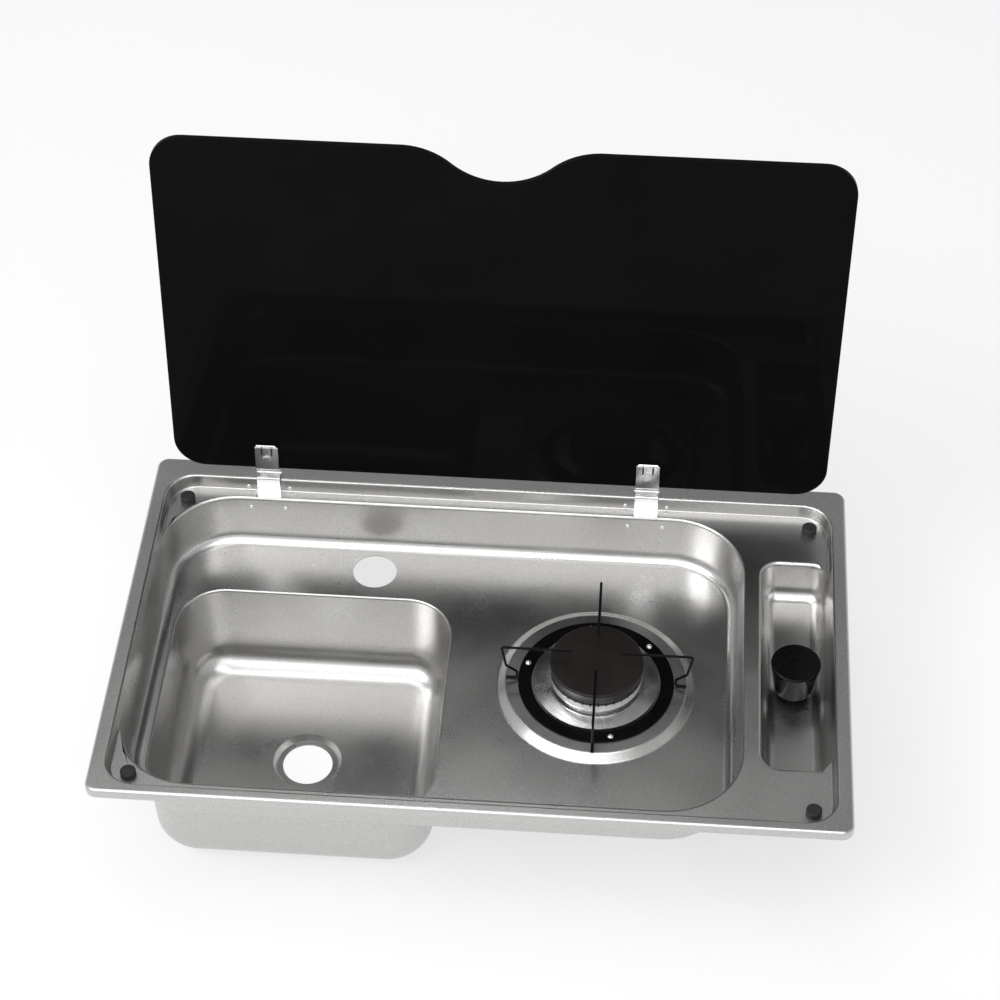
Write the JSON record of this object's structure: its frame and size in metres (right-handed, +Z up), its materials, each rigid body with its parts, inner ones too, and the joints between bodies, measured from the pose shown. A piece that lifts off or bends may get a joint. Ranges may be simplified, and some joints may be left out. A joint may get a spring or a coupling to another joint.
{
  "type": "hob and sink combo",
  "caption": "Drop-in stainless hob and sink unit with a gas burner, a basin and a hinged black glass lid",
  "frame": {"origin": "centre of the rim on the worktop plane, where the rim's seal rests on the worktop", "axes": "+X to the right as a cook stands at it, +Y to the back where the lid is hinged, +Z up"},
  "size_m": [0.6, 0.3891, 0.4963],
  "materials": {
    "satin_steel": "satin pressed stainless steel",
    "bright_steel": "bright stainless steel",
    "pipe_steel": "zinc-plated steel tube",
    "cast_aluminium": "machined cast aluminium",
    "cap_enamel": "satin brown-black enamel",
    "black_enamel": "black enamel",
    "brass": "machined brass",
    "copper": "drawn copper",
    "rubber": "black rubber",
    "seal_foam": "grey foam seal",
    "knob_black": "glossy black plastic",
    "black_glass": "black tempered glass, polished"
  },
  "bodies": {
    "tray": {"steel_top": "satin_steel", "rim_seal": "seal_foam", "bumper_front_left": "rubber", "bumper_front_right": "rubber", "bumper_back_left": "rubber", "bumper_back_right": "rubber", "hinge_bracket_left": "bright_steel", "hinge_bracket_right": "bright_steel", "hinge_pin_left": "bright_steel", "hinge_pin_right": "bright_steel", "hinge_backing_left": "bright_steel", "hinge_backing_right": "bright_steel", "hinge_rivets": "bright_steel", "burner_cup": "cast_aluminium", "burner_head": "cast_aluminium", "burner_cap": "cap_enamel", "burner_ring": "black_enamel", "burner_screws": "bright_steel", "pan_arm_right": "black_enamel", "pan_arm_back": "black_enamel", "pan_arm_left": "black_enamel", "pan_arm_front": "black_enamel", "gas_jet": "brass", "jet_holder": "brass", "thermocouple": "copper", "thermocouple_lead": "copper", "magnet_unit": "bright_steel", "burner_pipe": "pipe_steel", "burner_pipe_nuts": "brass", "inlet_pipe": "pipe_steel", "inlet_nut": "brass", "valve_body": "brass", "valve_cover": "brass", "valve_nut": "bright_steel", "valve_spring": "bright_steel"},
    "lid": {"lid_glass": "black_glass", "lid_clamp_left": "bright_steel", "lid_clamp_right": "bright_steel", "clamp_pads_left": "rubber", "clamp_pads_right": "rubber", "clamp_screw_left": "bright_steel", "clamp_screw_right": "bright_steel", "clamp_nuts": "bright_steel"},
    "tap_plug": {"valve_plug": "brass"},
    "tap_knob": {"knob": "knob_black", "spindle": "bright_steel"},
    "safety_stem": {"magnet_stem": "bright_steel"}
  },
  "joints": [
    {"name": "lid_hinge", "type": "hinge", "parent": "tray", "child": "lid", "pos_m": [0, 0.1701, 0.011], "axis": [1, 0, 0], "range_deg": [0, 96.3]},
    {"name": "tap_turn", "type": "hinge", "parent": "tray", "child": "tap_plug", "pos_m": [0.257, -0.0046, -0.064], "axis": [0, 0, 1], "range_deg": [0, 210]},
    {"name": "knob_push", "type": "slide", "parent": "tap_plug", "child": "tap_knob", "axis": [0, 0, -1], "range_m": [0, 0.004], "stiffness_N_per_m": 1200, "springref_m": -0.002, "deforming": ["valve_spring"]},
    {"name": "stem_push", "type": "slide", "parent": "tray", "child": "safety_stem", "axis": [0, 0, -1], "range_m": [0, 0.004]}
  ],
  "couplings": [
    {"joint": "stem_push", "follows": "knob_push", "ratio": 1}
  ]
}
